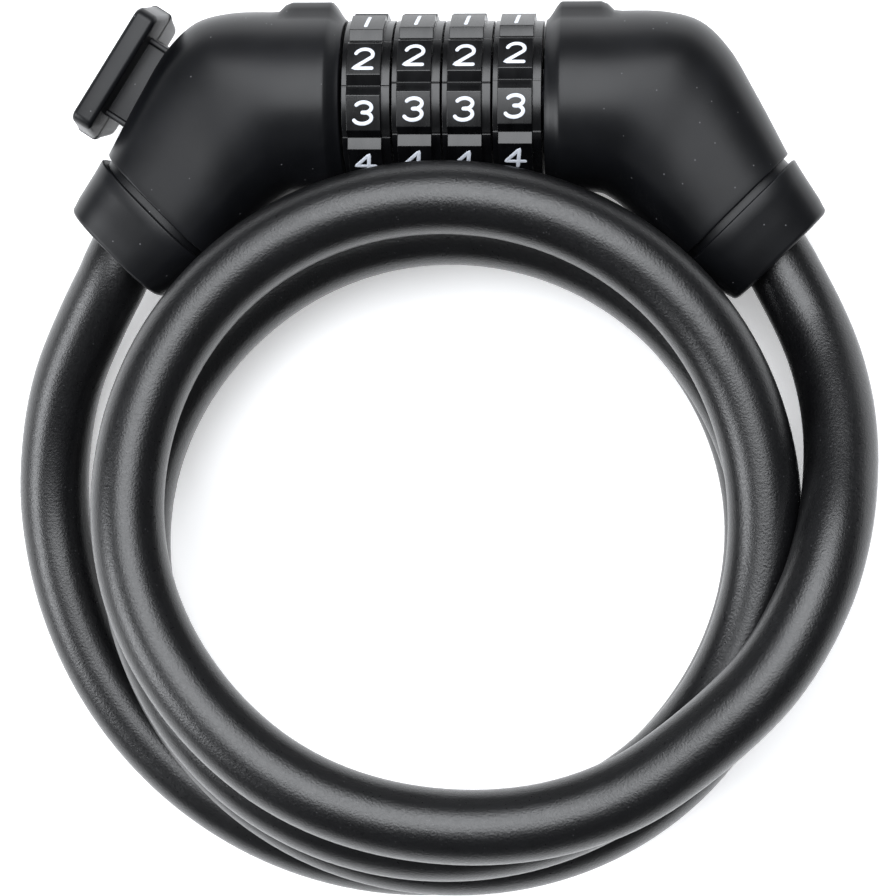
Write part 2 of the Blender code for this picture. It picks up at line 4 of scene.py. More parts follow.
import bmesh
import bpy
from mathutils import Matrix, Vector


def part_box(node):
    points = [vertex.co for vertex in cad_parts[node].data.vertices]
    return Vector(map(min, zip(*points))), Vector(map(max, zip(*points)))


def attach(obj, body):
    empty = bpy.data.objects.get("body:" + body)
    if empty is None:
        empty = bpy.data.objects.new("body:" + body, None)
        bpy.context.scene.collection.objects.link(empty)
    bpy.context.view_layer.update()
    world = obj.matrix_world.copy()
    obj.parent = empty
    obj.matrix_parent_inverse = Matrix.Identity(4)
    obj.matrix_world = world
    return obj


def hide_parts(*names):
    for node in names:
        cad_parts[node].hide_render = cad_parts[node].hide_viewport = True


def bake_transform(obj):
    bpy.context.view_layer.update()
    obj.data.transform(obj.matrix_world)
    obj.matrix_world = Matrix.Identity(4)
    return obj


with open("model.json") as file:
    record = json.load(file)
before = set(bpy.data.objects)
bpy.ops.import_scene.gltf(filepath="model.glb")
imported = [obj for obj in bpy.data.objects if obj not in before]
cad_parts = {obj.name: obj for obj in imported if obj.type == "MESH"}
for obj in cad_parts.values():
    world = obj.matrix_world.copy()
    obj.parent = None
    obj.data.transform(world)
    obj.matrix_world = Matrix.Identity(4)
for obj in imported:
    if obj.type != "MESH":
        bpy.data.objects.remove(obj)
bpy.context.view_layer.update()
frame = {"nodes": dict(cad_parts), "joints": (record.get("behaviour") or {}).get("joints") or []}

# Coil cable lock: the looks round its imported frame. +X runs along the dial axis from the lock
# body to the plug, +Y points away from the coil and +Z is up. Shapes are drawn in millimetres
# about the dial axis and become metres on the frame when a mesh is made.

MM = 0.001
JOINTS = {joint["name"]: joint for joint in frame["joints"]}
NUMBERS = (1, 2, 3, 4)
DIAL_XS = [JOINTS["dial_%d_turn" % n]["pos_m"][0] / MM for n in NUMBERS]
AXIS = Vector((0.0, *JOINTS["dial_1_turn"]["pos_m"][1:]))   # metres
AXIS_Y = AXIS.y / MM

# ---------------------------------------------------------------- camera
CAMERA_AT = Vector((32.0, -30.0, 421.2))      # from the dial axis in plan, above the table
LOOK_X, LOOK_Y = 4.45, 4.0                    # the view leans this much towards -X and -Y
ROLL = 0.25
LENS = 96.5


def make_camera():
    look = Vector((-math.tan(math.radians(LOOK_X)), -math.tan(math.radians(LOOK_Y)), -1)).normalized()
    right = look.cross(Vector((0, 1, 0))).normalized()
    up = right.cross(look)
    roll = math.radians(ROLL)
    right, up = (right * math.cos(roll) + up * math.sin(roll),
                 up * math.cos(roll) - right * math.sin(roll))
    data = bpy.data.cameras.new("camera")
    data.lens = LENS
    data.sensor_width = 36.0
    data.clip_start = 0.01
    camera = bpy.data.objects.new("camera", data)
    bpy.context.scene.collection.objects.link(camera)
    place = Matrix((right, up, -look)).transposed().to_4x4()
    place.translation = (CAMERA_AT + Vector((0, AXIS_Y, 0))) * MM
    camera.matrix_world = place
    bpy.context.scene.camera = camera


make_camera()


# ---------------------------------------------------------------- material nodes
def new_material(name, colour, roughness, metallic=0.0):
    mat = bpy.data.materials.new(name)
    mat.use_nodes = True
    shader = mat.node_tree.nodes["Principled BSDF"]
    shader.inputs["Base Color"].default_value = (*colour, 1.0)
    shader.inputs["Roughness"].default_value = roughness
    shader.inputs["Metallic"].default_value = metallic
    return mat, mat.node_tree, shader


def object_coords(tree, stretch=(1, 1, 1)):
    coords = tree.nodes.new("ShaderNodeTexCoord")
    if stretch == (1, 1, 1):
        return coords.outputs["Object"]
    mapping = tree.nodes.new("ShaderNodeMapping")
    mapping.inputs["Scale"].default_value = stretch
    tree.links.new(coords.outputs["Object"], mapping.inputs["Vector"])
    return mapping.outputs["Vector"]


def noise(tree, size_mm, detail=2.0, stretch=(1, 1, 1), rough=0.5):
    """Noise whose features are about size_mm across."""
    node = tree.nodes.new("ShaderNodeTexNoise")
    node.inputs["Scale"].default_value = 1.0 / (size_mm * MM)
    node.inputs["Detail"].default_value = detail
    node.inputs["Roughness"].default_value = rough
    tree.links.new(object_coords(tree, stretch), node.inputs["Vector"])
    return node.outputs["Fac"]


def cells(tree, size_mm):
    """Distance to the nearest point of a scatter size_mm apart, in cells."""
    node = tree.nodes.new("ShaderNodeTexVoronoi")
    node.inputs["Scale"].default_value = 1.0 / (size_mm * MM)
    tree.links.new(object_coords(tree), node.inputs["Vector"])
    return node.outputs["Distance"]


def remap(tree, value, from_low, from_high, to_low, to_high):
    node = tree.nodes.new("ShaderNodeMapRange")
    node.inputs["From Min"].default_value = from_low
    node.inputs["From Max"].default_value = from_high
    node.inputs["To Min"].default_value = to_low
    node.inputs["To Max"].default_value = to_high
    tree.links.new(value, node.inputs["Value"])
    return node.outputs["Result"]


def mix_colours(tree, factor, low, high):
    node = tree.nodes.new("ShaderNodeMix")
    node.data_type = "RGBA"
    node.inputs["A"].default_value = (*low, 1.0)
    node.inputs["B"].default_value = (*high, 1.0)
    tree.links.new(factor, node.inputs["Factor"])
    return node.outputs["Result"]


def bump(tree, height, depth_mm, strength=1.0, below=None):
    """Bump whose full height is depth_mm, over another bump."""
    node = tree.nodes.new("ShaderNodeBump")
    node.inputs["Strength"].default_value = strength
    node.inputs["Distance"].default_value = depth_mm * MM
    tree.links.new(height, node.inputs["Height"])
    if below:
        tree.links.new(below, node.inputs["Normal"])
    return node.outputs["Normal"]


# ---------------------------------------------------------------- materials
def housing_plastic():
    """Matte black ABS with a fine eroded mould texture and a little dust."""
    mat, tree, shader = new_material("housing_abs", (0.012, 0.0125, 0.014), 0.42)
    shader.inputs["Specular IOR Level"].default_value = 0.25
    cloud = noise(tree, 9.0, detail=3.0)
    tint = remap(tree, cloud, 0.3, 0.7, 0.0, 1.0)
    dust = remap(tree, cells(tree, 2.6), 0.035, 0.055, 1.0, 0.0)
    base = mix_colours(tree, tint, (0.0022, 0.0024, 0.0030), (0.0040, 0.0043, 0.0053))
    dusty = tree.nodes.new("ShaderNodeMix")
    dusty.data_type = "RGBA"
    dusty.inputs["B"].default_value = (0.09, 0.09, 0.095, 1.0)
    tree.links.new(dust, dusty.inputs["Factor"])
    tree.links.new(base, dusty.inputs["A"])
    tree.links.new(dusty.outputs["Result"], shader.inputs["Base Color"])
    tree.links.new(remap(tree, cloud, 0.25, 0.75, 0.35, 0.42), shader.inputs["Roughness"])
    grain = bump(tree, noise(tree, 0.16, detail=3.0), 0.010, 0.55)
    tree.links.new(bump(tree, noise(tree, 14.0), 0.10, 0.25, grain), shader.inputs["Normal"])
    return mat


def cable_pvc():
    """Satin PVC jacket: pebbled skin, with faint ripples from the strands below."""
    mat, tree, shader = new_material("cable_pvc", (0.010, 0.010, 0.011), 0.34)
    cloud = noise(tree, 7.0, detail=4.0)
    base = mix_colours(tree, remap(tree, cloud, 0.3, 0.7, 0.0, 1.0),
                       (0.0018, 0.0018, 0.0021), (0.0034, 0.0035, 0.0040))
    pores = remap(tree, cells(tree, 1.5), 0.05, 0.10, 1.0, 0.0)
    specked = tree.nodes.new("ShaderNodeMix")
    specked.data_type = "RGBA"
    specked.inputs["B"].default_value = (0.030, 0.030, 0.032, 1.0)
    tree.links.new(pores, specked.inputs["Factor"])
    tree.links.new(base, specked.inputs["A"])
    tree.links.new(specked.outputs["Result"], shader.inputs["Base Color"])
    tree.links.new(remap(tree, noise(tree, 0.5, detail=3.0), 0.25, 0.75, 0.26, 0.38),
                   shader.inputs["Roughness"])
    pebbles = bump(tree, noise(tree, 0.38, detail=3.0, rough=0.6), 0.06, 0.9)
    ripples = bump(tree, noise(tree, 3.5, detail=1.0), 0.09, 0.30, pebbles)
    tree.links.new(ripples, shader.inputs["Normal"])
    return mat


def dial_plastic():
    """Glossier black for the dials, with faint scuffs."""
    mat, tree, shader = new_material("dial_black", (0.007, 0.007, 0.008), 0.27)
    shader.inputs["Specular IOR Level"].default_value = 0.38
    smear = noise(tree, 2.2, detail=5.0, stretch=(1.0, 0.35, 0.35))
    base = mix_colours(tree, remap(tree, smear, 0.3, 0.7, 0.0, 1.0),
                       (0.0012, 0.0012, 0.0015), (0.0028, 0.0029, 0.0034))
    tree.links.new(base, shader.inputs["Base Color"])
    tree.links.new(remap(tree, smear, 0.2, 0.8, 0.22, 0.34), shader.inputs["Roughness"])
    tree.links.new(bump(tree, noise(tree, 0.30, detail=3.0), 0.004, 0.5), shader.inputs["Normal"])
    return mat


def number_paint():
    """White pad-printed paint, a little uneven."""
    mat, tree, shader = new_material("number_paint", (0.78, 0.80, 0.85), 0.5)
    patch = noise(tree, 0.5, detail=4.0)
    tree.links.new(mix_colours(tree, remap(tree, patch, 0.3, 0.7, 0.0, 1.0),
                               (0.48, 0.51, 0.57), (0.64, 0.67, 0.73)), shader.inputs["Base Color"])
    tree.links.new(remap(tree, patch, 0.2, 0.8, 0.40, 0.58), shader.inputs["Roughness"])
    tree.links.new(bump(tree, noise(tree, 0.2, detail=2.0), 0.008, 0.5), shader.inputs["Normal"])
    return mat


def metal(name, dark, light, rough_low, rough_high, grain_mm, stretch):
    """Turned or cast metal: colour and roughness vary along its grain."""
    mat, tree, shader = new_material(name, light, rough_low, 1.0)
    grain = noise(tree, grain_mm, detail=5.0, stretch=stretch)
    tree.links.new(mix_colours(tree, remap(tree, grain, 0.3, 0.7, 0.0, 1.0), dark, light),
                   shader.inputs["Base Color"])
    tree.links.new(remap(tree, grain, 0.25, 0.75, rough_low, rough_high), shader.inputs["Roughness"])
    tree.links.new(bump(tree, grain, 0.012, 0.5), shader.inputs["Normal"])
    return mat


ABS = housing_plastic()
PVC = cable_pvc()
DIAL = dial_plastic()
PAINT = number_paint()
STEEL = metal("turned_steel", (0.42, 0.42, 0.44), (0.62, 0.62, 0.64), 0.22, 0.38, 0.35, (6, 1, 1))
BLUED = metal("spring_steel", (0.16, 0.17, 0.20), (0.34, 0.35, 0.39), 0.25, 0.42, 0.4, (1, 5, 5))
OXIDE = metal("black_oxide_steel", (0.012, 0.012, 0.014), (0.03, 0.03, 0.034), 0.32, 0.50,
              0.35, (6, 1, 1))
ZINC = metal("cast_zinc", (0.30, 0.30, 0.32), (0.48, 0.48, 0.50), 0.35, 0.52, 0.7, (1, 1, 1))


# ---------------------------------------------------------------- mesh helpers
def mesh_piece(name, bm, mat, body, stands_for=(), sharp=32.0):
    """Turn a bmesh drawn in millimetres about the dial axis into a piece that rides on a body."""
    bmesh.ops.recalc_face_normals(bm, faces=bm.faces)
    bmesh.ops.transform(bm, matrix=Matrix.Translation(AXIS) @ Matrix.Scale(MM, 4), verts=bm.verts)
    mesh = bpy.data.meshes.new(name)
    bm.to_mesh(mesh)
    bm.free()
    obj = bpy.data.objects.new(name, mesh)
    bpy.context.scene.collection.objects.link(obj)
    mesh.materials.append(mat)
    mesh.shade_smooth()
    if sharp:
        mesh.set_sharp_from_angle(angle=math.radians(sharp))
    if body:
        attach(obj, body)
    if stands_for:
        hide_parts(*stands_for)
    return obj


def soften(obj, width_mm, segments=2, angle=30.0):
    mod = obj.modifiers.new("edges", "BEVEL")
    mod.width = width_mm * MM
    mod.segments = segments
    mod.limit_method = "ANGLE"
    mod.angle_limit = math.radians(angle)
    mod.harden_normals = True
    return obj


def skin(bm, rings, closed_rings=True, closed_loop=False):
    """Faces between neighbouring rings of points; returns the rings' vertices."""
    made = [[bm.verts.new(p) for p in ring] for ring in rings]
    count = len(made[0])
    pairs = list(zip(made, made[1:]))
    if closed_loop:
        pairs.append((made[-1], made[0]))
    for a, b in pairs:
        for i in range(count if closed_rings else count - 1):
            j = (i + 1) % count
            bm.faces.new((a[i], a[j], b[j], b[i]))
    return made


def mix(a, b, factor):
    return a + (b - a) * factor


def smoothstep(value, low, high):
    t = min(max((value - low) / (high - low), 0.0), 1.0)
    return t * t * (3 - 2 * t)


def smooth_path(knots, step):
    """Centripetal Catmull-Rom curve through the knots, with points a step apart or closer."""
    ends = [2 * knots[0] - knots[1]] + knots + [2 * knots[-1] - knots[-2]]
    path = []
    for p0, p1, p2, p3 in zip(ends, ends[1:], ends[2:], ends[3:]):
        t1 = math.sqrt((p1 - p0).length)
        t2 = t1 + math.sqrt((p2 - p1).length)
        t3 = t2 + math.sqrt((p3 - p2).length)
        count = math.ceil((p2 - p1).length / step)
        for k in range(count):
            t = mix(t1, t2, k / count)
            a1 = mix(p0, p1, t / t1)
            a2 = mix(p1, p2, (t - t1) / (t2 - t1))
            a3 = mix(p2, p3, (t - t2) / (t3 - t2))
            b1 = mix(a1, a2, t / t2)
            b2 = mix(a2, a3, (t - t1) / (t3 - t1))
            path.append(mix(b1, b2, (t - t1) / (t2 - t1)))
    path.append(knots[-1])
    return path


# ---------------------------------------------------------------- housings' driving dimensions
LEG_ANGLE = math.radians(-45.0)
GROOVE_C = (48.1, -17.7)      # middle of the groove between leg and collar
RIM_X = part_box("right_housing_front")[0].x / MM
RIM_R = 13.7
PAD_H = 1.6
LEG_W, LEG_H = 12.6, 11.9
COLLAR_L = 11.2
COLLAR_END_W, COLLAR_END_H = 10.6, 9.7
GROOVE_DEPTH = 1.1
GROOVE_W = 1.2
WALL = 2.2
CABLE_HOLE_R = 7.1
LEG_POWER = 2.9

LEG_OUT = Vector((math.cos(LEG_ANGLE), math.sin(LEG_ANGLE)))
LEG_ACROSS = Vector((-LEG_OUT.y, LEG_OUT.x))


# ---------------------------------------------------------------- cable
# Its route, in metres: in plan from the dial axis, and above the table. The coil winds
# clockwise seen from above, with its radius given every eighth of a turn, one row to a turn.
CABLE_R = 0.006
MOUTH = ((0.0529, -0.0228), (0.0554, -0.0260))
PLUG_LEAD = (
    (0.0574, -0.0295, 0.0154), (0.0609, -0.0363, 0.0170), (0.0634, -0.0428, 0.0202),
    (0.0650, -0.0505, 0.0250), (0.0653, -0.0586, 0.0300), (0.0637, -0.0700, 0.0369),
    (0.0602, -0.0804, 0.0408), (0.0526, -0.0931, 0.0428),
)
BODY_LEAD = (
    (-0.0690, -0.0582, 0.0073), (-0.0663, -0.0475, 0.0096), (-0.0613, -0.0370, 0.0126),
    (-0.0573, -0.0299, 0.0147),
)
COIL_Y = -0.0700
COIL_START, COIL_STEP = 45.0, 45.0
COIL_RADII = (
    (0.0527, 0.0470, 0.0468, 0.0504, 0.0529, 0.0535, 0.0540, 0.0532),
    (0.0534, 0.0531, 0.0529, 0.0517, 0.0489, 0.0486, 0.0506, 0.0545),
    (0.0584, 0.0586, 0.0569, 0.0539, 0.0500, 0.0491, 0.0505, 0.0535),
    (0.0565, 0.0616, 0.0660, 0.0697),
)
TURN_LOW, TURN_PITCH = 0.0061, 0.01235
RAMP = (1.4, 4.3)             # eighths of a turn over which a turn steps down to the next
COIL_POINTS = 108
CABLE_ROOTS = (3.4, 4.9)      # first points, this far past the groove
PATH_STEP = 0.0025
CABLE_SIDES = 48


def coil_radius(radii, position):
    """Smooth curve through the radii; position counts them."""
    i = min(int(position), len(radii) - 2)
    a, b = radii[i], radii[i + 1]
    slope_a = (b - radii[i - 1]) / 2 if i else b - a
    slope_b = (radii[i + 2] - a) / 2 if i + 2 < len(radii) else b - a
    t = position - i
    return ((2 * t ** 3 - 3 * t ** 2 + 1) * a + (t ** 3 - 2 * t ** 2 + t) * slope_a
            + (3 * t ** 2 - 2 * t ** 3) * b + (t ** 3 - t ** 2) * slope_b)


def coil_height(position):
    turn, eighth = divmod(position, 360 / COIL_STEP)
    stepped = turn + smoothstep(eighth, *RAMP)
    return TURN_LOW + TURN_PITCH * max(len(COIL_RADII) - 1 - stepped, 0.0)


def coil_points():
    radii = [r for row in COIL_RADII for r in row]
    points = []
    for k in range(COIL_POINTS + 1):
        position = (len(radii) - 1) * k / COIL_POINTS
        a = math.radians(COIL_START + COIL_STEP * position)
        r = coil_radius(radii, position)
        points.append(Vector((r * math.cos(a), COIL_Y - r * math.sin(a), coil_height(position))))
    return points


def in_leg(side):
    """Points of the cable inside a leg, from its root to the collar's mouth."""
    roots = [(Vector(GROOVE_C) + LEG_OUT * d) * MM for d in CABLE_ROOTS]
    mouth = [(root.x, root.y) for root in roots] + list(MOUTH)
    return [Vector((x * side, y, AXIS.z)) for x, y in mouth]


def cable_path():
    leads = [[Vector(p) for p in lead] for lead in (PLUG_LEAD, BODY_LEAD)]
    knots = in_leg(1) + leads[0] + coil_points() + leads[1] + in_leg(-1)[::-1]
    return [p + Vector((0, AXIS.y, 0)) for p in smooth_path(knots, PATH_STEP)]


def tube_rings(path, radius, sides):
    """Rings of points round a path, carried along it without twist."""
    tangents = [(b - a).normalized() for a, b in zip([path[0]] + path, path[1:] + [path[-1]])]
    side = tangents[0].orthogonal().normalized()
    rings = []
    for point, tangent in zip(path, tangents):
        side = (side - tangent * side.dot(tangent)).normalized()
        other = tangent.cross(side)
        ring = []
        for k in range(sides):
            a = math.tau * k / sides
            ring.append(point + (side * math.cos(a) + other * math.sin(a)) * radius)
        rings.append(ring)
    return rings


def make_cable():
    path = cable_path()
    bm = bmesh.new()
    made = skin(bm, tube_rings(path, CABLE_R, CABLE_SIDES))
    bm.faces.new(made[0])
    bm.faces.new(made[-1])
    bmesh.ops.recalc_face_normals(bm, faces=bm.faces)
    mesh = bpy.data.meshes.new("coil_cable")
    bm.to_mesh(mesh)
    bm.free()
    mesh.materials.append(PVC)
    mesh.shade_smooth()
    mesh.set_sharp_from_angle(angle=math.radians(60))
    cable = bpy.data.objects.new("coil_cable", mesh)
    bpy.context.scene.collection.objects.link(cable)
    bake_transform(cable)
    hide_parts("lock_cable")


make_cable()


# ---------------------------------------------------------------- half shells
BODY_R = 15.0
ROUND = 2.0                         # the power of a true ellipse
# right-hand sections from the chamfer to the groove: outer x, y, inner x, y, half height, power
BODY_KEYS = (
    (19.4, BODY_R, 19.4, -BODY_R, BODY_R, ROUND),
    (22.8, BODY_R, 21.6, -BODY_R, BODY_R, ROUND),
    (28.0, BODY_R, 25.4, -15.1, BODY_R, ROUND),
    (36.5, 14.8, 27.5, -15.9, 14.6, 2.1),
    (42.2, 13.2, 29.5, -17.3, 14.1, 2.3),
    (46.9, 8.8, 31.9, -19.5, 13.4, 2.5),
    (51.6, 1.0, 35.0, -22.4, 12.7, 2.75),
)
BODY_STEP = 1.6
CHAMFER_SHARES = (0.3, 0.65, 0.93)  # extra rings up the chamfer, the last close under its edge
PAD_FROM, PAD_FULL = 16.9, 19.2     # the pad rises along the chamfer
PAD_RAMP = (26.0, 28.4)             # and ramps down at its far end
PAD_EDGE = (14.0, 27.0)             # degrees round from the parting plane
EDGE_R = 0.35
COLLAR_EDGE_R = 0.8
MOUTH_WALL = 3.0
MOUTH_EDGE = ((0.0, 0.35), (0.15, 0.1), (0.4, 0.0), (MOUTH_WALL, 0.0))  # depth, wider by
SHELL_GAP = 0.10
PARTING_BEVEL = 0.12
ARC = 36


def superellipse(angle, half_w, half_h, power):
    c, s = math.cos(angle), math.sin(angle)
    return (half_w * math.copysign(abs(c) ** (2 / power), c), half_h * abs(s) ** (2 / power))


def half_ring(centre, normal, half_w, half_h, power, face, pad=0.0, inset=0.0):
    """Half ring from the outer side over the front (face 1) or rear (face -1)."""
    half_w, half_h = half_w - inset, half_h - inset
    points = []
    for k in range(ARC + 1):
        angle = math.pi * k / ARC
        across, up = superellipse(angle, half_w, half_h, power)
        across += pad * (1.0 - smoothstep(math.degrees(angle), *PAD_EDGE))
        spot = centre + normal * across
        points.append((spot.x, spot.y, face * (up + SHELL_GAP / 2 + PARTING_BEVEL)))
    for end, point in ((0, points[0]), (len(points) + 1, points[-1])):
        sign = -1 if end == 0 else 1
        spot = Vector(point[:2]) + normal * sign * PARTING_BEVEL
        points.insert(end, (spot.x, spot.y, face * SHELL_GAP / 2))
    return points


def pad_height(x):
    return PAD_H * smoothstep(x, PAD_FROM, PAD_FULL) * (1.0 - smoothstep(x, *PAD_RAMP))


def key_ring(key, face, inset=0.0, padded=True):
    outer, inner = Vector(key[:2]), Vector(key[2:4])
    pad = pad_height(outer.x) if padded else 0.0
    across = outer - inner
    return half_ring((outer + inner) / 2, across.normalized(), across.length / 2, key[4], key[5],
                     face, pad, inset)


def round_ring(x, radius, face):
    return key_ring((x, radius, x, -radius, radius, ROUND), face)


def leg_ring(distance, half_w, half_h, power, face, inset=0.0):
    centre = Vector(GROOVE_C) + LEG_OUT * distance
    return half_ring(centre, LEG_ACROSS, half_w, half_h, power, face, 0.0, inset)


def leg_key(distance, half_w, half_h, power):
    outer = Vector(GROOVE_C) + LEG_OUT * distance + LEG_ACROSS * half_w
    inner = Vector(GROOVE_C) + LEG_OUT * distance - LEG_ACROSS * half_w
    return (*outer, *inner, half_h, power)


def fillet(radius, steps=4):
    """Steps round a quarter fillet: (distance back along the skin, inset)."""
    quarter = [math.pi / 2 * k / steps for k in range(steps + 1)]
    return [(radius * (1 - math.sin(a)), radius * (1 - math.cos(a))) for a in quarter]


def shell_rings(face, dial_hole_r):
    """Rings of a right-hand half shell, out along its skin and back through its cavity."""
    rings = []
    for back, inset in reversed(fillet(EDGE_R)):
        rings.append(round_ring(RIM_X + back, RIM_R - inset, face))
    for t in CHAMFER_SHARES:
        x = mix(RIM_X + EDGE_R, PAD_FULL, t)
        rings.append(round_ring(x, mix(RIM_R, BODY_R, t), face))
    keys = [Vector(key) for key in BODY_KEYS + (leg_key(-EDGE_R, LEG_W, LEG_H, LEG_POWER),)]
    for key in smooth_path(keys, BODY_STEP):
        rings.append(key_ring(tuple(key), face))
    for back, inset in fillet(EDGE_R)[1:]:
        rings.append(leg_ring(-back, LEG_W, LEG_H, LEG_POWER, face, inset))
    rings.append(leg_ring(0.0, LEG_W, LEG_H, LEG_POWER, face, GROOVE_DEPTH))
    rings.append(leg_ring(GROOVE_W, LEG_W, LEG_H, LEG_POWER, face, GROOVE_DEPTH))
    for back, inset in reversed(fillet(EDGE_R)):
        rings.append(leg_ring(GROOVE_W + back, LEG_W, LEG_H, LEG_POWER, face, inset))
    for t in (0.25, 0.5, 0.75):
        rings.append(leg_ring(mix(GROOVE_W, COLLAR_L, t), mix(LEG_W, COLLAR_END_W, t),
                              mix(LEG_H, COLLAR_END_H, t), LEG_POWER, face))
    for back, inset in fillet(COLLAR_EDGE_R):
        rings.append(leg_ring(COLLAR_L - back, COLLAR_END_W, COLLAR_END_H, LEG_POWER, face, inset))
    for back, grow in MOUTH_EDGE:
        hole = CABLE_HOLE_R + grow
        rings.append(leg_ring(COLLAR_L - back, hole, hole, ROUND, face))
    rings.append(leg_ring(COLLAR_L - MOUTH_WALL, COLLAR_END_W, COLLAR_END_H, LEG_POWER, face, WALL))
    rings.append(leg_ring(0.0, LEG_W, LEG_H, LEG_POWER, face, GROOVE_DEPTH + WALL))
    for key in reversed(BODY_KEYS[2:]):
        rings.append(key_ring(key, face, WALL, padded=False))
    wall_x = RIM_X + WALL
    body_end = (wall_x, BODY_R, wall_x, -BODY_R, BODY_R, ROUND)
    rings.append(key_ring(body_end, face, WALL, padded=False))
    rings.append(round_ring(wall_x, dial_hole_r, face))
    rings.append(round_ring(RIM_X, dial_hole_r, face))
    return rings


def make_half_shell(node, side, face, dial_hole_r, body):
    bm = bmesh.new()
    rings = [[(x * side, y, z) for x, y, z in ring] for ring in shell_rings(face, dial_hole_r)]
    made = skin(bm, rings, closed_rings=False, closed_loop=True)
    bm.faces.new([ring[0] for ring in made])
    bm.faces.new([ring[-1] for ring in made])
    mesh_piece(node + "_skin", bm, ABS, body, (node,))


BARREL_HOLE, RING_HOLE = 5.7, 8.3
for half, face in (("front", 1), ("rear", -1)):
    make_half_shell("left_housing_" + half, -1, face, BARREL_HOLE, "lock_body")
    make_half_shell("right_housing_" + half, 1, face, RING_HOLE, "plug")


# ---------------------------------------------------------------- dials
DIAL_WIDTH = 7.95
DIAL_R, DIAL_FLANGE_R, DIAL_GROOVE_R, DIAL_BORE_R = 14.7, 13.45, 13.6, 8.9
DIAL_FLANGE_LEFT, DIAL_FLANGE_RIGHT = 0.9, 1.45
FLUTE_DEPTH, FLUTE_HALF = 0.35, 4.6
BLOCK_HALF = 11.3              # degrees from a number's middle to its block's edge
BLOCK_FLAT = 0.2               # how far a block's middle lies below a true round
NICK_DEPTH, NICK_FROM = 0.12, 17.7
DIAL_EDGE = 0.12
DIAL_TURNS = (-6.7, -9.2, -9.2, -11.1)   # of the number at the index, from +Y towards +Z
PITCH_HALF = 18.0              # degrees from a number to its V groove's bottom
DECADE = (-18.0, -17.4, -15.0, -12.8, -11.3, -8.5, -5.0, 0.0, 5.0, 8.5, 11.3, 12.8, 15.0, 17.4)


def from_number(angle):
    """Degrees from the middle of the nearest number."""
    return abs((angle + PITCH_HALF) % (2 * PITCH_HALF) - PITCH_HALF)


def block_radius(angle):
    """Flat-topped block, with a V groove half way to the next number."""
    off = from_number(angle)
    if off > BLOCK_HALF:
        return mix(DIAL_R, DIAL_GROOVE_R, (off - BLOCK_HALF) / (PITCH_HALF - BLOCK_HALF))
    return DIAL_R - BLOCK_FLAT * (1.0 - (off / BLOCK_HALF) ** 2)


def flange_radius(angle):
    """Flange with a fine nick in line with each groove."""
    return DIAL_FLANGE_R - (NICK_DEPTH if from_number(angle) > NICK_FROM else 0.0)


def bore_radius(angle):
    return DIAL_BORE_R + (FLUTE_DEPTH if from_number(angle) < FLUTE_HALF else 0.0)


def dial_ring(x, radius, turn):
    points = []
    for number in range(10):
        for off in DECADE:
            angle = 2 * PITCH_HALF * number + off
            a = math.radians(angle + turn)
            points.append((x, radius(angle) * math.cos(a), radius(angle) * math.sin(a)))
    return points


def make_dial(number, x, turn):
    half = DIAL_WIDTH / 2
    left, right = -half + DIAL_FLANGE_LEFT, half - DIAL_FLANGE_RIGHT
    stations = ((-half, bore_radius), (-half, flange_radius), (left, flange_radius),
                (left, block_radius), (right, block_radius), (right, flange_radius),
                (half, flange_radius), (half, bore_radius))
    bm = bmesh.new()
    skin(bm, [dial_ring(x + dx, r, turn) for dx, r in stations], closed_loop=True)
    node = "dial_%d" % number
    dial = mesh_piece(node + "_skin", bm, DIAL, node, (node,))
    soften(dial, DIAL_EDGE)


def arc(cx, cy, rx, ry, start, end, steps=14):
    angles = [math.radians(mix(start, end, k / steps)) for k in range(steps + 1)]
    return [(cx + rx * math.cos(a), cy + ry * math.sin(a)) for a in angles]


# each number's strokes in a box one wide and one high about its middle
STROKES = (
    [arc(0, 0, .40, .5, 90, 450, 28)],
    [[(0, -.5), (0, .5)]],
    [arc(0, .20, .42, .30, 165, -25, 16) + [(-.44, -.5), (.46, -.5)]],
    [arc(0, .25, .40, .25, 150, -75, 14) + [(-.02, .02)],
     [(-.02, .02)] + arc(0, -.23, .44, .27, 75, -155, 16)],
    [[(.16, -.5), (.16, .5), (-.46, -.22), (.48, -.22)]],
    [[(.38, .5), (-.30, .5), (-.36, .06)] + arc(0, -.17, .42, .33, 140, -150, 18)],
    [[(.26, .5), (-.20, .12)] + arc(0, -.18, .40, .32, 150, 510, 28)],
    [[(-.42, .5), (.42, .5), (-.14, -.5)]],
    [arc(0, .27, .34, .23, 90, 450, 24), arc(0, -.23, .41, .27, 90, 450, 26)],
    [[(-.26, -.5), (.20, -.12)] + arc(0, .18, .40, .32, -30, 330, 28)],
)
NUMBER_W, NUMBER_H = 3.35, 3.55
STROKE_R = 0.32
STROKE_STEP = 0.3
STROKE_SIDES = 12
STROKE_RISE = 0.14             # a stroke's height as a share of its half width
LEAN = 0.10


def densified(path, step):
    """The path with straight runs cut into steps, so that they can follow the dial's round."""
    points = []
    for a, b in zip(path, path[1:]):
        count = max(1, math.ceil((b - a).length / step))
        points += [mix(a, b, k / count) for k in range(count)]
    return points + [path[-1]]


